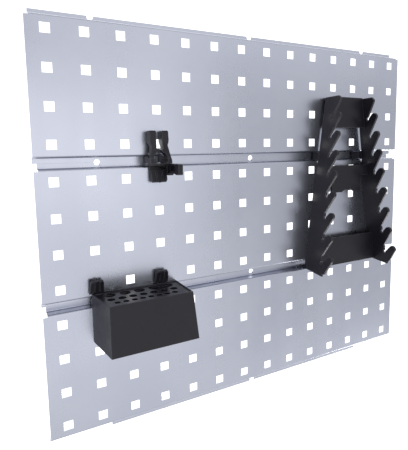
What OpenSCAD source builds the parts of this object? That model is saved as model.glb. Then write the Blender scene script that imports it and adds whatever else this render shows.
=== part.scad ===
// Perforated tool wall: three folded steel panels stacked on a wall, with a fork holder, a bit box and a
// spanner rack clipped into the two grooves between them.
// Frame: X to the right, Y into the wall, Z up. The wall is the plane Y = 0, and the origin is the middle
// of the middle panel on that plane.

/* [Panels] */
// Width of a panel
panel_w = 532; // [530:1:560]
// Height from one panel's middle to the next one's middle
panel_pitch = 152; // [152:1:156]
// Distance from the wall to the front of the perforated face
face_out = 13; // [13:0.5:16]
// Sheet thickness
sheet = 1; // [0.8:0.1:1]
// Distance between neighbouring square holes
hole_pitch = 38; // [38:1:38]
// Side of a square hole
hole_side = 10; // [8:0.5:10]
// Columns of square holes
hole_cols = 14; // [12:1:14]
// Rows of square holes in one panel
hole_rows = 4; // [4:1:4]
// Clear height of a groove between two panels
groove_h = 11.8; // [11.8:0.1:12.4]
// Outer radius of the folds beside the face
fold_r = 2; // [1.5:0.1:2.2]

/* [Wall screws] */
// Radius of a screw hole
screw_r = 3.25; // [2.5:0.05:3.4]
// Distance between neighbouring screw holes
screw_pitch = 200; // [190:5:205]

/* [Fork holder] */
// Middle of the fork holder across the wall
fork_x = -135.8; // [-150:0.2:-120]
// Gap between the two prongs
fork_gap = 7; // [6:0.2:8]
// Width of one prong
prong_w = 7.5; // [6.5:0.1:7.6]
// Reach of the hook arm from the face
arm_reach = 41; // [36:1:60]

/* [Bit box] */
// Middle of the bit box's holes across the wall
box_x = -164.5; // [-175:0.5:-150]
// Width of its front across the top
box_top_w = 92.4; // [90:0.2:96]
// How far the back stands out beyond the front on the left
box_skew = 7; // [0:1:8]
// How far the bottom stands out beyond the top on the right
box_draft = 6.4; // [0:0.2:8]
// Height
box_h = 55.2; // [50:0.5:64]
// Reach of its front from the face
box_reach = 49; // [48:1:56]
// Distance between its two clips
box_clip_pitch = 75; // [70:1:78]

/* [Spanner rack] */
// Middle of the rack across the wall
rack_x = 148.4; // [140:0.4:152]
// Width across the cheeks at the middle of the wall
rack_w = 108; // [104:1:112]
// Height of the rack's top edge above the middle of the wall
rack_top = 158; // [150:1:160]
// Angle between a cheek and the vertical
cheek_lean = 8; // [6:0.2:8.4]
// Spanner slots in each cheek
slots = 8; // [6:1:8]

/* [Hidden] */
$fn = 48;
eps = 0.01;
clear = 0.3;
// panels
web_z = (panel_pitch - groove_h) / 2;
flange_gap = 0.05;
front_flange = sheet + flange_gap;
top_flange_h = 7;
low_flange_h = 10.2;
low_flange_end_h = 5.9;
top_inset = 4.5;
groove_z = panel_pitch / 2;
// clips, drawn around the middle of their groove: the plate stands on the face and the foot fills the groove
clip_w = 16.6;
fork_clip_w = 20.6;
fork_clip_off = 1.2;
fork_tongue_root = 9.6;
plate_in = clear;
plate_out = 3.5;
foot_w = 9;
neck_w = 7;
foot_deep = 9;
foot_low = groove_h / 2 - 0.4;
foot_high = 2.6;
latch_root = 4.2;
toe_high = groove_h / 2 - clear;
toe_t = 1.2;
toe_deep = 8;
tongue_t = 2.2;
tongue_in = 1.1;
tongue_root = 10.8;
tongue_l = 15.4;
tongue_lean = 15;
rib_share = 0.27;
rib_h = 1.5;
rib_start = 2;
// fork holder
seat_r = 6.8;
seat_z = groove_z + 2.9;
split_gap = 0.3;
fork_back = plate_out + 0.2;
shelf_top = groove_z - 3;
shelf_out = 14;
root_front = 13.4;
arm_root_out = 22;
arm_back = 7;
shelf_t = 2;
arm_low = groove_z - 15.4;
arm_w = 5.1;
arm_x = 9.9;
prong_top = groove_z + 33.3;
head_low = groove_z + 18.5;
hook_w = 3.2;
// bit box
box_top = -groove_z + 9.8;
box_back = 0.6;
wall_t = 2.2;
back_wall_t = 4.4;
rebate = 0.8;
plate_drop = 1.2;
box_off = 2.5;
pocket_side = 0.4;
pocket_in = plate_out + 0.1;
hole_plate_t = 2.5;
// socket rows: [number, pitch, hole radius, distance of the row from the face]
SOCKET_ROWS = [[5, 16.8, 6.4, 11.2], [7, 11.9, 4.4, 25.4], [8, 9.2, 3.4, 37]];
// spanner rack
cheek_t = 3;
rack_low = -86;
slot_first = 128.3;
slot_step = 25;
slot_grow = 1;
slot_in = 16.8;
slot_in_step = 1.8;
tooth_r = 4.9;
tooth_top_angle = 43;
tooth_low_angle = 31.6;
last_longer = 4.5;
slot_floor_r = 2.1;
rack_plate_out = 12.5;
rack_plate_t = 2.5;
window_1 = [62, 115];
window_2 = [46.7, -40.5];
tongue_left = -27;
tongue_right = 29;
arch_x = 4;
tongue_low = 24;
plate_gap = 0.02;

STEEL = "#b9bfcc";
BLACK = "#232326";

// ---- helpers ------------------------------------------------------------------------------------------

// A box from its lowest to its highest corner.
module block(low, high) {
  translate(low)
    cube(high - low);
}

// Draws a side profile, whose x is the distance out from the perforated face and whose y is the height,
// as a slab of thickness t that starts at x = 0 and grows to the right.
module side_slab(t) {
  translate([0, -face_out, 0])
    rotate([90, 0, 90])
      linear_extrude(t)
        mirror([1, 0, 0])
          children();
}

// A quarter ring of sheet around c, in the quadrant that the signs sx and sy name.
module fold(c, r_out, sx, sy) {
  translate(c)
    intersection() {
      difference() {
        circle(r_out);
        circle(r_out - sheet);
      }
      translate([sx < 0 ? -r_out - eps : 0, sy < 0 ? -r_out - eps : 0])
        square(r_out + eps);
    }
}

// ---- panels -------------------------------------------------------------------------------------------

// One edge of the folded sheet in the upper half: fold, web, fold and flange. back is the distance from
// the wall to the back of the flange.
module edge_profile(back, flange_h) {
  inner = 2 * sheet;
  fold([face_out - fold_r, web_z - fold_r], fold_r, 1, 1);
  translate([back + inner, web_z - sheet])
    square([face_out - fold_r - back - inner, sheet]);
  fold([back + inner, web_z + sheet], inner, -1, -1);
  translate([back, web_z + sheet])
    square([sheet, flange_h - sheet]);
}

// The whole sheet, seen along X: x is the distance from the wall, y the height.
module panel_profile() {
  translate([face_out - sheet, -web_z + fold_r])
    square([sheet, 2 * (web_z - fold_r)]);
  edge_profile(0, top_flange_h);
  mirror([0, 1])
    edge_profile(front_flange, low_flange_h);
}

module panel(z) {
  hole_x0 = -(hole_cols - 1) / 2 * hole_pitch;
  hole_z0 = -(hole_rows - 1) / 2 * hole_pitch;
  end = panel_w / 2;
  color(STEEL)
    translate([0, 0, z])
      difference() {
        translate([-end, 0, 0])
          rotate([90, 0, 90])
            linear_extrude(panel_w)
              mirror([1, 0])
                panel_profile();
        // square holes
        for (i = [0 : hole_cols - 1], j = [0 : hole_rows - 1])
          translate([hole_x0 + i * hole_pitch - hole_side / 2, -face_out - 1,
                     hole_z0 + j * hole_pitch - hole_side / 2])
            cube([hole_side, sheet + 2, hole_side]);
        // the top fold, web and flange stop short of both ends
        for (s = [-1, 1])
          block([s < 0 ? -end - 1 : end - top_inset, -face_out - 1, web_z - fold_r],
                [s < 0 ? -end + top_inset : end + 1, 1, web_z + top_flange_h + 1]);
        // open screw notches in both flanges
        for (k = [-1 : 1])
          translate([k * screw_pitch, 0, 0]) {
            screw_notch(web_z + groove_h / 2, 1);
            screw_notch(-web_z - groove_h / 2, -1);
          }
        // beyond the outer screws the lower flange is shorter
        for (s = [-1, 1])
          block([s < 0 ? -end - 1 : screw_pitch, -front_flange - sheet - 0.5, -web_z - low_flange_h - 1],
                [s < 0 ? -screw_pitch : end + 1, 1, -web_z - low_flange_end_h]);
      }
}

// A round-ended notch through a flange: a screw hole that runs on to the flange's edge.
module screw_notch(z, way) {
  translate([0, 1, z])
    rotate([90, 0, 0])
      cylinder(r = screw_r, h = 2 * sheet + 2);
  block([-screw_r, -2 * sheet - 1, way > 0 ? z : z - top_flange_h],
        [screw_r, 1, way > 0 ? z + top_flange_h : z]);
}

module upper_panel() { panel(panel_pitch); }
module middle_panel() { panel(0); }
module lower_panel() { panel(-panel_pitch); }

// ---- clips --------------------------------------------------------------------------------------------

// A clip's rigid half for a latch that points up: the plate against the face and the foot in the groove.
module clip_foot() {
  color(BLACK)
    union() {
      block([-neck_w / 2, -face_out - plate_out, -groove_h / 2 - 1.8],
            [neck_w / 2, -face_out - plate_in, foot_high]);
      difference() {
        block([-foot_w / 2, -face_out - plate_in - eps, -foot_low],
              [foot_w / 2, -face_out + foot_deep, foot_high]);
        // a pocket from behind keeps the moulding's walls even
        block([-foot_w / 2 + 1.8, -face_out + 1.5, -foot_low + 1.8],
              [foot_w / 2 - 1.8, -face_out + foot_deep + 1, foot_high - 1.8]);
      }
    }
}

// A clip's springy half: the toe that holds in the groove, a neck, and the ribbed thumb tongue, w wide.
module clip_latch(w, neck, root) {
  color(BLACK)
    union() {
      // toe and neck
      block([-foot_w / 2 + 1, -face_out - plate_out + clear, toe_high - toe_t],
            [foot_w / 2 - 1, -face_out + toe_deep, toe_high]);
      block([-neck / 2, -face_out - tongue_in - tongue_t, latch_root],
            [neck / 2, -face_out - tongue_in, root + 0.6]);
      // tongue and its three ribs
      translate([0, -face_out - tongue_in, root])
        rotate([tongue_lean, 0, 0])
          tongue(w);
    }
}

module tongue(w) {
  rotate([90, 0, 0])
    linear_extrude(tongue_t)
      polygon([[-w / 2, 0], [w / 2, 0], [w / 2 - 1.2, tongue_l - 1.2], [w / 2 - 2, tongue_l],
               [-w / 2 + 2, tongue_l], [-w / 2 + 1.2, tongue_l - 1.2]]);
  for (k = [-1 : 1])
    tongue_rib(k, w);
}

// One rounded rib of the tongue, number -1, 0 or 1 from the left: the middle one reaches furthest.
module tongue_rib(k, w) {
  rib_w = w * rib_share;
  spread = w * 0.34;
  close_in = 4;
  reach = (k == 0 ? tongue_l + 0.8 : tongue_l + 0.1) - rib_start - rib_w / 2;
  translate([k * spread, -tongue_t + 0.4, rib_start])
    rotate([0, -k * close_in, 0])
      union() {
        block([-rib_w / 2, -rib_h - 0.4, 0], [rib_w / 2, 0, reach]);
        translate([0, 0, reach])
          rotate([90, 0, 0])
            cylinder(d = rib_w, h = rib_h + 0.4);
      }
}

// ---- fork holder --------------------------------------------------------------------------------------

// The side profile of a prong whose root reaches to out, cut off below z_low.
module prong_profile(z_low, out) {
  h = prong_top;
  n = head_low;
  intersection() {
    polygon([[fork_back, shelf_top], [out, shelf_top], [out, shelf_top + 2.5], [root_front, n - 1], [13, n + 3],
             [13, h - 1.8], [11.6, h], [2, h], [0.6, h - 1.6], [0.6, n + 2.4], [4.4, n - 1.5], [7.5, n - 8],
             [7.5, shelf_top + 7], [fork_back, shelf_top + 5]]);
    translate([-5, z_low])
      square([60, 100]);
  }
}

// The front profile of the right prong: its outer side swells at the head and is waisted below it.
module prong_front() {
  x_in = fork_gap / 2;
  x_out = x_in + prong_w;
  h = prong_top;
  n = head_low;
  polygon([[x_in, shelf_top], [x_out, shelf_top], [x_out, shelf_top + 4], [x_out - 1.4, n - 1.5], [x_out - 0.2, n + 1.5],
           [x_out + 0.3, n + 5], [x_out, n + 9], [x_out, h - 0.8], [x_out - 0.8, h], [x_in + 0.8, h], [x_in, h - 0.8],
           [x_in, seat_z + 10.4], [x_in - 2, seat_z + 9.4], [x_in - 2, seat_z + 6.4], [x_in, seat_z + 5.4]]);
}

// One prong above the seat: s is -1 for the left one and 1 for the right one.
module prong(s) {
  color(BLACK)
    translate([fork_x, 0, 0])
      mirror([s < 0 ? 1 : 0, 0, 0])
        difference() {
          intersection() {
            side_slab(prong_w * 3)
              prong_profile(seat_z + split_gap / 2, s < 0 ? root_front : arm_root_out);
            rotate([90, 0, 0])
              linear_extrude(face_out + 60)
                prong_front();
          }
          fork_seat();
        }
}

// The round seat between the prongs, a bore from front to back.
module fork_seat() {
  translate([0, 0, seat_z])
    rotate([90, 0, 0])
      cylinder(r = seat_r, h = face_out + 60);
}

module fork_body() {
  x_in = fork_gap / 2;
  x_out = x_in + prong_w;
  color(BLACK)
    translate([fork_x, 0, 0])
      union() {
        // prong roots below the seat's middle
        difference() {
          for (s = [-1, 1])
            translate([s < 0 ? -x_out : x_in, 0, 0])
              side_slab(prong_w)
                intersection() {
                  prong_profile(shelf_top, s < 0 ? root_front : arm_root_out);
                  translate([-5, shelf_top])
                    square([60, seat_z - split_gap / 2 - shelf_top]);
                }
          fork_seat();
        }
        // shelf that joins the roots
        block([-x_out, -face_out - shelf_out, shelf_top - shelf_t], [x_out, -face_out - fork_back, shelf_top]);
        // hook arm: a thin web between rims, with a solid end
        translate([arm_x + arm_w - 1.6, 0, 0])
          side_slab(1.6)
            arm_profile(false);
        translate([arm_x, 0, 0])
          side_slab(arm_w)
            arm_profile(true);
      }
}

// Side profile of the hook arm, either whole or only its rims and end block.
module arm_profile(open) {
  top = shelf_top - 0.2;
  difference() {
    polygon([[arm_back, top], [arm_reach, top - 0.6], [arm_reach, arm_low + 0.8],
             [arm_reach - 1, arm_low], [arm_reach - 9, arm_low], [arm_reach - 10, arm_low + 1],
             [shelf_out + 2, arm_low + 1], [shelf_out, arm_low - 1.2], [arm_back, arm_low - 1.2]]);
    if (open)
      polygon([[arm_back + 2.5, top - 2], [arm_reach - 10, top - 2], [arm_reach - 10, arm_low + 3],
               [shelf_out + 2.6, arm_low + 3], [shelf_out, arm_low + 0.8], [arm_back + 2.5, arm_low + 0.8]]);
  }
}

// A hook behind one side of the fork that reaches into the upper groove.
module fork_hook(s) {
  x_out = fork_gap / 2 + prong_w - 0.4;
  color(BLACK)
    translate([fork_x, 0, groove_z])
      mirror([s < 0 ? 1 : 0, 0, 0])
        translate([x_out - hook_w, 0, 0])
          side_slab(hook_w)
            polygon([[fork_back - plate_gap, -2.4], [fork_back - plate_gap, foot_low - 3], [1, foot_low - 0.6],
                     [-foot_deep + 1, foot_low], [-foot_deep, foot_low - 1], [-foot_deep, -1.4], [-foot_deep + 1, -2.4]]);
}

module fork_hook_left() { fork_hook(-1); }
module fork_hook_right() { fork_hook(1); }

module fork_clip_latch() {
  translate([fork_x + fork_clip_off, 0, groove_z])
    mirror([0, 0, 1])
      clip_latch(fork_clip_w, fork_clip_w, fork_tongue_root);
}

module fork_prong_left() { prong(-1); }
module fork_prong_right() { prong(1); }

// ---- bit box ------------------------------------------------------------------------------------------

// Where the box's right side stands at height z.
function box_right(z) = box_x + box_top_w / 2 + box_off + box_draft * (box_top - z) / box_h;

// The box between two heights, m inside its outer faces and b inside its back: the left side stands out
// towards the back, the right side towards the bottom.
module box_form(m, b, low, high) {
  left = box_x - box_top_w / 2 + box_off + m;
  far = box_x + box_top_w;
  intersection() {
    translate([0, -face_out, low])
      linear_extrude(high - low)
        polygon([[left, m - box_reach], [far, m - box_reach], [far, -box_back - b],
                 [left - box_skew * (1 - b / box_reach), -box_back - b]]);
    rotate([90, 0, 0])
      linear_extrude(face_out + box_reach + 1)
        polygon([[left - box_top_w, low - 1], [box_right(low - 1) - m, low - 1],
                 [box_right(high + 1) - m, high + 1], [left - box_top_w, high + 1]]);
  }
}

module bit_box_shell() {
  floor_z = box_top - plate_drop - hole_plate_t;
  color(BLACK)
    difference() {
      box_form(0, 0, box_top - box_h, box_top);
      box_form(wall_t, back_wall_t, box_top - box_h - 1, floor_z + eps);
      // the wider recess at the top, whose floor carries the hole plate
      box_form(wall_t - rebate, back_wall_t - rebate, floor_z, box_top + 1);
      // pockets for the clips in the thick back wall
      for (s = [-1, 1])
        box_clip_at(s)
          block([-neck_w / 2 - pocket_side, -face_out - pocket_in, -groove_h / 2 - 2],
                [neck_w / 2 + pocket_side, 0, box_h]);
    }
}

module bit_box_hole_plate() {
  top = box_top - plate_drop;
  low = top - hole_plate_t + plate_gap;
  color(BLACK)
    difference() {
      box_form(wall_t - rebate + plate_gap, back_wall_t - rebate + plate_gap, low, top);
      for (row = SOCKET_ROWS, i = [0 : row[0] - 1])
        translate([box_x + (i - (row[0] - 1) / 2) * row[1], -face_out - row[3], low - 1])
          cylinder(r = row[2], h = hole_plate_t + 2);
    }
}

module box_clip_at(s) {
  translate([box_x - 8.1 + s * box_clip_pitch / 2, 0, -groove_z])
    children();
}

module bit_box_clip_foot_left() { box_clip_at(-1) clip_foot(); }
module bit_box_clip_foot_right() { box_clip_at(1) clip_foot(); }
module bit_box_clip_latch_left() { box_clip_at(-1) clip_latch(clip_w, neck_w, tongue_root); }
module bit_box_clip_latch_right() { box_clip_at(1) clip_latch(clip_w, neck_w, tongue_root); }

// ---- spanner rack -------------------------------------------------------------------------------------

// Height and depth of the floor of slot i, counted from the top.
function slot_z(i) = slot_first - i * slot_step - slot_grow * i * (i - 1) / 2;
function slot_d(i) = slot_in + i * slot_in_step;

// One tooth: a round end, a flatter upper side and a steep lower side that runs to the next slot.
module tooth(i) {
  longer = i < slots - 1 ? 0 : last_longer;
  up_dir = [sin(tooth_top_angle), cos(tooth_top_angle)];
  e = [slot_d(i) + 12.6, slot_z(i) + 2.8] + up_dir * longer;
  up = [-cos(tooth_top_angle), sin(tooth_top_angle)] * tooth_r;
  low = [cos(tooth_low_angle), -sin(tooth_low_angle)] * tooth_r;
  low_dir = [sin(tooth_low_angle), cos(tooth_low_angle)];
  low_len = i < slots - 1 ? 33 : 21.5;
  translate(e)
    circle(tooth_r);
  polygon([e, e + up, e + up - up_dir * (15 + longer), e + low - low_dir * low_len - [8, 0], e + low - low_dir * low_len,
           e + low]);
}

module cheek_profile() {
  last = slots - 1;
  difference() {
    union() {
      polygon([[clear, rack_low + 12], [4, rack_low + 3.5], [slot_d(last) + 5, rack_low], [slot_d(last) + 2, slot_z(last)],
                [slot_d(0) + 1, slot_z(0)], [31.5, rack_top - 5.5],
               [31, rack_top - 3.5], [27.5, rack_top], [3, rack_top], [3, groove_z - 6], [clear, groove_z - 12]]);
      for (i = [0 : last])
        tooth(i);
    }
    for (i = [0 : last])
      translate([slot_d(i) + 1.9, slot_z(i) - 0.2])
        circle(slot_floor_r);
  }
}

// A cheek, flat against the lean of its side: s is -1 for the left one and 1 for the right one.
module cheek(s) {
  color(BLACK)
    translate([rack_x + s * rack_w / 2, 0, 0])
      rotate([0, -s * cheek_lean, 0])
        translate([s < 0 ? 0 : -cheek_t, 0, 0])
          side_slab(cheek_t)
            cheek_profile();
}

// A plate between the cheeks from z_low to z_high, cut to the lean of both cheeks.
module rack_plate(z_low, z_high, out) {
  lean = tan(cheek_lean);
  inner = rack_w / 2 - cheek_t / cos(cheek_lean) - plate_gap;
  translate([rack_x, -face_out - out + rack_plate_t, 0])
    rotate([90, 0, 0])
      linear_extrude(rack_plate_t)
        polygon([[-inner + z_low * lean, z_low], [inner - z_low * lean, z_low],
                 [inner - z_high * lean, z_high], [-inner + z_high * lean, z_high]]);
}

module rack_top_plate() {
  lean = tan(cheek_lean);
  inner = rack_w / 2 - cheek_t / cos(cheek_lean) - plate_gap - (rack_top - 1) * lean;
  color(BLACK)
    union() {
      rack_plate(window_1[1], rack_top - 1, rack_plate_out);
      // a lip at the top turns back towards the panel
      block([rack_x - inner, -face_out - rack_plate_out + 1, rack_top - 3.5],
            [rack_x + inner, -face_out - 3, rack_top - 1]);
    }
}

module rack_middle_plate() {
  color(BLACK)
    difference() {
      union() {
        rack_plate(window_2[0], window_1[0], rack_plate_out);
        block([rack_x + tongue_left, -face_out - rack_plate_out, tongue_low],
              [rack_x + tongue_right, -face_out - rack_plate_out + rack_plate_t, window_2[0] + 1]);
      }
      // shallow arch between the two lobes at the bottom
      translate([rack_x + arch_x, -face_out, tongue_low - 14])
        rotate([90, 0, 0])
          cylinder(r = 18, h = 30);
    }
}

module rack_bottom_plate() {
  color(BLACK)
    rack_plate(rack_low + 5, window_2[1], rack_plate_out);
}

// A plain foot behind a cheek in the upper groove.
module rack_upper_foot(s) {
  x = rack_x + s * (rack_w / 2 - groove_z * tan(cheek_lean) - cheek_t / 2 - 3.6);
  color(BLACK)
    block([x - 5, -face_out - 3 + plate_gap, groove_z - foot_low], [x + 5, -face_out + foot_deep, groove_z + foot_low]);
}

module rack_clip_at(s) {
  translate([rack_x + s * 34, 0, -groove_z])
    children();
}

// The rack's lower clips carry a post that reaches forward to the bottom plate.
module rack_clip_foot(s) {
  rack_clip_at(s)
    union() {
      clip_foot();
      color(BLACK)
        block([-neck_w / 2, -face_out - rack_plate_out + rack_plate_t, -6],
              [neck_w / 2, -face_out - plate_out + eps, 0]);
    }
}

module rack_left_cheek() { cheek(-1); }
module rack_right_cheek() { cheek(1); }
module rack_upper_foot_left() { rack_upper_foot(-1); }
module rack_upper_foot_right() { rack_upper_foot(1); }
module rack_clip_foot_left() { rack_clip_foot(-1); }
module rack_clip_foot_right() { rack_clip_foot(1); }
module rack_clip_latch_left() { rack_clip_at(-1) clip_latch(clip_w, neck_w, tongue_root); }
module rack_clip_latch_right() { rack_clip_at(1) clip_latch(clip_w, neck_w, tongue_root); }

upper_panel();
middle_panel();
lower_panel();
fork_body();
fork_hook_left();
fork_hook_right();
fork_clip_latch();
fork_prong_left();
fork_prong_right();
bit_box_shell();
bit_box_hole_plate();
bit_box_clip_foot_left();
bit_box_clip_foot_right();
bit_box_clip_latch_left();
bit_box_clip_latch_right();
rack_left_cheek();
rack_right_cheek();
rack_top_plate();
rack_middle_plate();
rack_bottom_plate();
rack_upper_foot_left();
rack_upper_foot_right();
rack_clip_foot_left();
rack_clip_foot_right();
rack_clip_latch_left();
rack_clip_latch_right();
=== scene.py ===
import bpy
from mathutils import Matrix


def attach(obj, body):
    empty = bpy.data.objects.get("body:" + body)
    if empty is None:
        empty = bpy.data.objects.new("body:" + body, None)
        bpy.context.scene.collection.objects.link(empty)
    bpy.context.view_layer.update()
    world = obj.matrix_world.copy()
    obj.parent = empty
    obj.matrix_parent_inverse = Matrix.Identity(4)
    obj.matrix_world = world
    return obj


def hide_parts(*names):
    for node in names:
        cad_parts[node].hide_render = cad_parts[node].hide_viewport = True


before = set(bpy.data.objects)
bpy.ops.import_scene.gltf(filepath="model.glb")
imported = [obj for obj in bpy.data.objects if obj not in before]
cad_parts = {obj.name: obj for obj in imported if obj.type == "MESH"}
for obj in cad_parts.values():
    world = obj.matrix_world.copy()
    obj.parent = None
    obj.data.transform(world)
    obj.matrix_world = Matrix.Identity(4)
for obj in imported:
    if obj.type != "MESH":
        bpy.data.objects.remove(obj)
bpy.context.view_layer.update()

import math

import bmesh
import bpy
from mathutils import Euler, Matrix, Vector

# ---- Three folded steel panels --------------------------------------------------------------------------
# Galvanised sheet, 1 mm thick, punched with square holes and folded back along its upper and lower edge.
# Each panel's lower flange laps over the upper flange of the one below, and screws in the grooves hold both.


def new_material(name):
    """A new material, its node tree and its shader."""
    material = bpy.data.materials.new(name)
    material.use_nodes = True
    tree = material.node_tree
    return material, tree, tree.nodes["Principled BSDF"]


def add(tree, kind, inputs=None, **settings):
    """A new shader node, each input linked to a socket or set to a value."""
    node = tree.nodes.new("ShaderNode" + kind)
    for key, value in settings.items():
        setattr(node, key, value)
    for key, value in (inputs or {}).items():
        if isinstance(value, bpy.types.NodeSocket):
            tree.links.new(value, node.inputs[key])
        else:
            node.inputs[key].default_value = value
    return node


def noise(tree, where, scale, detail, roughness):
    settings = {"Vector": where, "Scale": scale, "Detail": detail, "Roughness": roughness}
    return add(tree, "TexNoise", settings).outputs["Fac"]


def stretched(tree, where, per_metre):
    return add(tree, "Mapping", {"Vector": where, "Scale": per_metre}).outputs["Vector"]


def ramp(tree, source, start, end, low, high):
    """Low while the source is at its start, high at its end, and smooth between them."""
    stops = {"Value": source, "From Min": start, "From Max": end, "To Min": low, "To Max": high}
    return add(tree, "MapRange", stops, interpolation_type="SMOOTHSTEP").outputs["Result"]


def summed(tree, first, second):
    return add(tree, "Math", {0: first, 1: second}, operation="ADD").outputs["Value"]


def mixed(tree, share, first, second):
    """The first colour where share is 0, the second where it is 1."""
    return add(tree, "Mix", {"Factor": share, "A": first, "B": second}, data_type="RGBA").outputs["Result"]


def edge_mask(tree, reach, turned, flat):
    """1 on edges, 0 on open faces: normals averaged within reach are compared with the plain ones."""
    rounded = add(tree, "Bevel", {"Radius": reach}, samples=4).outputs["Normal"]
    plain = add(tree, "NewGeometry").outputs["Normal"]
    cosine = add(tree, "VectorMath", {0: rounded, 1: plain}, operation="DOT_PRODUCT").outputs["Value"]
    return ramp(tree, cosine, flat, turned, 0.0, 1.0)


def bump(tree, height, strength, depth, under=None):
    """Normals moved by a height; under is the normal that it is laid over."""
    inputs = {"Height": height, "Strength": strength, "Distance": depth}
    if under:
        inputs["Normal"] = under
    return add(tree, "Bump", inputs).outputs["Normal"]


def galvanised_steel():
    """Zinc with a cloudy tone and faint spangle, rolling lines up the sheet, and rubbed edges."""
    dark_zinc = (0.605, 0.625, 0.71, 1.0)
    light_zinc = (0.69, 0.705, 0.785, 1.0)
    rubbed_zinc = (0.86, 0.87, 0.90, 1.0)
    line_stretch = (900.0, 900.0, 14.0)
    band_stretch = (26.0, 26.0, 3.0)
    spangles_per_metre = 150.0
    clouds_per_metre = 7.0
    fold_reach = 0.0003
    rubbed_reach = 0.0005
    line_depth = 0.0002
    band_depth = 0.0010

    material, tree, skin = new_material("galvanised_steel")
    where = add(tree, "TexCoord").outputs["Object"]
    lines = noise(tree, stretched(tree, where, line_stretch), scale=1.0, detail=3.0, roughness=0.6)
    bands = noise(tree, stretched(tree, where, band_stretch), scale=1.0, detail=2.0, roughness=0.5)
    clouds = noise(tree, where, clouds_per_metre, detail=3.0, roughness=0.55)
    crystals = add(tree, "TexVoronoi", {"Vector": where, "Scale": spangles_per_metre, "Randomness": 1.0})
    spangle = add(tree, "SeparateColor", {"Color": crystals.outputs["Color"]}).outputs["Red"]

    cloud_tone = ramp(tree, clouds, start=0.3, end=0.7, low=0.0, high=0.55)
    spangle_tone = ramp(tree, spangle, start=0.0, end=1.0, low=0.0, high=0.07)
    zinc = mixed(tree, summed(tree, cloud_tone, spangle_tone), dark_zinc, light_zinc)
    edges = edge_mask(tree, rubbed_reach, turned=0.80, flat=0.99)
    tree.links.new(mixed(tree, edges, zinc, rubbed_zinc), skin.inputs["Base Color"])

    skin.inputs["Metallic"].default_value = 1.0
    band_rough = ramp(tree, bands, start=0.3, end=0.7, low=0.26, high=0.32)
    spangle_rough = ramp(tree, spangle, start=0.0, end=1.0, low=-0.005, high=0.008)
    tree.links.new(summed(tree, band_rough, spangle_rough), skin.inputs["Roughness"])

    folds = add(tree, "Bevel", {"Radius": fold_reach}, samples=8).outputs["Normal"]
    lined = bump(tree, lines, strength=0.10, depth=line_depth, under=folds)
    relief = bump(tree, bands, strength=0.08, depth=band_depth, under=lined)
    tree.links.new(relief, skin.inputs["Normal"])
    return material


steel = galvanised_steel()
for panel in ("upper_panel", "middle_panel", "lower_panel"):
    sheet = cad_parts[panel].data
    sheet.materials.clear()
    sheet.materials.append(steel)

# ---- Fork holder ----------------------------------------------------------------------------------------
# Black nylon, moulded: a round seat under two prongs, with a hook arm on its right. Two hooks hold it in the
# upper groove, and the ribbed tongue below lets go of the groove when it is pressed.

fork_body_round = 0.0004
prong_round = 0.0004
hook_round = 0.0003
tongue_round = 0.0005


def black_nylon():
    """Black plastic with a pored skin, flow marks in its gloss, and light grey along its edges that is
    partly scuffing and partly painted highlight.
    """
    deep_black = (0.0120, 0.0105, 0.0155, 1.0)
    soft_black = (0.0150, 0.0135, 0.0190, 1.0)
    scuffed_highlight_grey = (0.150, 0.146, 0.165, 1.0)
    pores_per_metre = 2600.0
    dust_per_metre = 320.0
    flow_per_metre = 45.0
    scuff_and_highlight_reach = 0.0014
    pore_depth = 0.0001

    material, tree, skin = new_material("black_plastic")
    where = add(tree, "TexCoord").outputs["Object"]
    pores = noise(tree, where, pores_per_metre, detail=2.0, roughness=0.6)
    flow = noise(tree, where, flow_per_metre, detail=3.0, roughness=0.55)
    dust = noise(tree, where, dust_per_metre, detail=4.0, roughness=0.7)

    tone = ramp(tree, flow, start=0.35, end=0.65, low=0.0, high=1.0)
    black = mixed(tree, tone, deep_black, soft_black)
    # Edges painted light grey and thinned in patches: partly scuffing, partly painted highlight lines where
    # lamps catch the rounded edges.
    edges = edge_mask(tree, scuff_and_highlight_reach, turned=0.78, flat=0.985)
    patches = ramp(tree, dust, start=0.35, end=0.70, low=0.45, high=1.0)
    scuffs_and_edge_highlights = add(tree, "Math", {0: edges, 1: patches}, operation="MULTIPLY").outputs["Value"]
    tree.links.new(mixed(tree, scuffs_and_edge_highlights, black, scuffed_highlight_grey), skin.inputs["Base Color"])

    flow_rough = ramp(tree, flow, start=0.3, end=0.7, low=0.30, high=0.40)
    dust_rough = ramp(tree, dust, start=0.4, end=0.7, low=0.0, high=0.06)
    tree.links.new(summed(tree, flow_rough, dust_rough), skin.inputs["Roughness"])
    skin.inputs["IOR"].default_value = 1.44
    tree.links.new(bump(tree, pores, strength=0.12, depth=pore_depth), skin.inputs["Normal"])
    return material


def outline(node):
    """A copy of a part's solid, its seams closed and its flat faces in one piece again."""
    seam_gap = 2e-6
    flat_turn = math.radians(0.6)
    mesh = bmesh.new()
    mesh.from_mesh(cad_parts[node].data)
    bmesh.ops.remove_doubles(mesh, verts=mesh.verts, dist=seam_gap)
    bmesh.ops.dissolve_limit(mesh, angle_limit=flat_turn, verts=mesh.verts, edges=mesh.edges)
    for face in mesh.faces:
        face.smooth = True
    return mesh


def show_moulding(mesh, node, body, radius):
    """Shows a mesh in black nylon in place of a part, with every edge that turns enough rounded off."""
    least_turn = math.radians(32.0)
    name = node + "_moulding"
    data = bpy.data.meshes.new(name)
    mesh.to_mesh(data)
    mesh.free()
    data.materials.append(nylon)
    piece = bpy.data.objects.new(name, data)
    bpy.context.scene.collection.objects.link(piece)
    rounding = piece.modifiers.new("round", "BEVEL")
    rounding.width = radius
    rounding.segments = 3
    rounding.limit_method = "ANGLE"
    rounding.angle_limit = least_turn
    rounding.miter_outer = "MITER_ARC"
    shading = piece.modifiers.new("even", "WEIGHTED_NORMAL")
    shading.keep_sharp = False
    shading.weight = 100
    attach(piece, body)
    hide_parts(node)


def moulded(node, body, radius):
    show_moulding(outline(node), node, body, radius)


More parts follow.
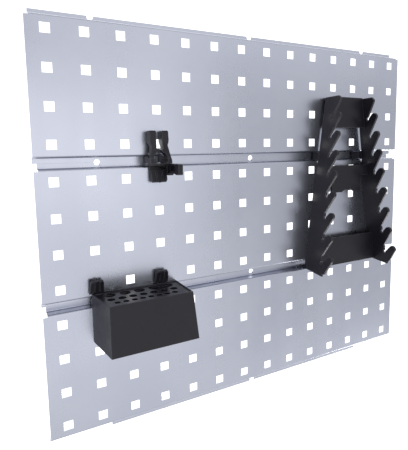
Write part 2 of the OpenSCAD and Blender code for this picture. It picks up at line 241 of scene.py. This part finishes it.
def prong(side):
    """A prong, drawn down into the body that it bends on, so that the moulding shows no seam."""
    root_height = 0.0002
    root_depth = 0.0003
    node = "fork_prong_" + side
    mesh = outline(node)
    lowest = min(vert.co.z for vert in mesh.verts)
    for vert in mesh.verts:
        if vert.co.z < lowest + root_height:
            vert.co.z -= root_depth
    show_moulding(mesh, node, "fork_%s_prong" % side, prong_round)


nylon = black_nylon()
moulded("fork_body", "fork_holder", fork_body_round)
moulded("fork_hook_left", "fork_holder", hook_round)
moulded("fork_hook_right", "fork_holder", hook_round)
prong("left")
prong("right")
moulded("fork_clip_latch", "fork_latch", tongue_round)

# ---- Bit box --------------------------------------------------------------------------------------------
# Black nylon shell, open below, with a plate of round holes resting on a ledge under its rim. Two clips
# behind it sit in the lower groove, and their ribbed tongues stand up behind the rim.

shell_round = 0.0006
hole_plate_round = 0.0004
foot_round = 0.0003

moulded("bit_box_shell", "bit_box", shell_round)
moulded("bit_box_hole_plate", "bit_box", hole_plate_round)
for side in ("left", "right"):
    moulded("bit_box_clip_foot_" + side, "bit_box", foot_round)
    moulded("bit_box_clip_latch_" + side, "bit_box_%s_latch" % side, tongue_round)

# ---- Spanner rack ---------------------------------------------------------------------------------------
# Black nylon: two toothed cheeks that lean apart towards the bottom, joined by three plates. Feet behind the
# cheeks and two clips behind the bottom plate hold it in the two grooves.

cheek_round = 0.0006
rack_plate_round = 0.0005

for side in ("left", "right"):
    moulded("rack_%s_cheek" % side, "spanner_rack", cheek_round)
    moulded("rack_upper_foot_" + side, "spanner_rack", foot_round)
    moulded("rack_clip_foot_" + side, "spanner_rack", foot_round)
    moulded("rack_clip_latch_" + side, "rack_%s_latch" % side, tongue_round)
for plate in ("top", "middle", "bottom"):
    moulded("rack_%s_plate" % plate, "spanner_rack", rack_plate_round)

# ---- Backdrop -------------------------------------------------------------------------------------------
# A pale upright sheet of paper behind the wall, large enough to fill the view. It glows, so that it stays
# even and the square holes show white.

paper_half = 4.0
paper_place = (0.8, 0.7, 0.0)


def backdrop_paper():
    material, _, skin = new_material("backdrop_paper")
    skin.inputs["Base Color"].default_value = (0.9, 0.9, 0.9, 1.0)
    skin.inputs["Roughness"].default_value = 0.9
    skin.inputs["Emission Color"].default_value = (1.0, 1.0, 1.0, 1.0)
    skin.inputs["Emission Strength"].default_value = 1.0
    return material


paper = bmesh.new()
bmesh.ops.create_grid(paper, x_segments=1, y_segments=1, size=paper_half)
upright = Matrix.Rotation(math.radians(90.0), 3, "X")
bmesh.ops.rotate(paper, verts=paper.verts, cent=(0.0, 0.0, 0.0), matrix=upright)
bmesh.ops.translate(paper, verts=paper.verts, vec=paper_place)
data = bpy.data.meshes.new("backdrop")
paper.to_mesh(data)
paper.free()
data.materials.append(backdrop_paper())
backdrop = bpy.data.objects.new("backdrop", data)
bpy.context.scene.collection.objects.link(backdrop)

# ---- Light ----------------------------------------------------------------------------------------------
# Five soft boxes in front that the steel mirrors as broad, even tones, one low on the right that catches
# the edges of the holders' slots, one high on the left, and dim, slightly blue surroundings.

cool = (0.98, 0.99, 1.0)
warm = (1.0, 0.99, 0.97)
neutral = (1.0, 1.0, 1.0)
surroundings_tint = (0.93, 0.95, 1.0, 1.0)
surroundings_strength = 0.58


def softbox(name, place, aim, width, height, watts, color):
    """A rectangular soft light at a place, turned towards its aim."""
    light = bpy.data.lights.new(name, "AREA")
    light.shape = "RECTANGLE"
    light.size = width
    light.size_y = height
    light.energy = watts
    light.color = color
    lamp = bpy.data.objects.new(name, light)
    lamp.location = place
    lamp.rotation_euler = (Vector(aim) - Vector(place)).to_track_quat("-Z", "Y").to_euler()
    bpy.context.scene.collection.objects.link(lamp)


def facing_box(name, x, y, z, width, height, watts, color):
    """A soft box that faces the wall squarely."""
    softbox(name, (x, y, z), (x, 0.0, z), width, height, watts, color)


facing_box("front_box", x=0.05, y=-2.0, z=-0.35, width=1.9, height=1.9, watts=3.9, color=(0.99, 0.99, 1.0))
facing_box("key_box", x=0.05, y=-1.95, z=0.10, width=1.3, height=0.6, watts=0.80, color=neutral)
facing_box("low_box", x=0.05, y=-1.95, z=-1.05, width=1.2, height=0.5, watts=0.26, color=neutral)
facing_box("upper_box", x=1.6, y=-2.0, z=1.2, width=3.6, height=1.0, watts=3.6, color=cool)
facing_box("lower_box", x=1.5, y=-2.0, z=-1.85, width=3.6, height=0.9, watts=2.3, color=cool)
softbox("rim_box", place=(1.87, -0.39, -1.63), aim=(0.14, -0.03, 0.0),
        width=0.7, height=0.7, watts=13.0, color=neutral)
softbox("left_box", place=(-1.45, -0.70, 0.90), aim=(0.0, 0.0, 0.0),
        width=0.8, height=0.8, watts=4.0, color=warm)

world = bpy.data.worlds.new("surroundings")
world.use_nodes = True
surroundings = world.node_tree.nodes["Background"]
surroundings.inputs["Color"].default_value = surroundings_tint
surroundings.inputs["Strength"].default_value = surroundings_strength
bpy.context.scene.world = world
bpy.context.scene.view_settings.view_transform = "Standard"

# ---- Camera ---------------------------------------------------------------------------------------------
# Nearly half a metre in front of the wall and just past its left end, at about the height of the upper
# groove, looking to the right and slightly down. The view is shifted a little downwards.

eye = Vector((-0.30227, -0.45125, 0.08346))
tilt = 83.58932
lean = 1.19070
pan = -27.04176

lens = bpy.data.cameras.new("camera")
lens.lens = 32.65
lens.sensor_width = 36.0
lens.shift_x = 0.0078
lens.shift_y = -0.0577
lens.clip_start = 0.01
camera = bpy.data.objects.new("camera", lens)
turn = Euler([math.radians(angle) for angle in (tilt, lean, pan)])
camera.matrix_world = Matrix.LocRotScale(eye, turn, None)
bpy.context.scene.collection.objects.link(camera)
bpy.context.scene.camera = camera
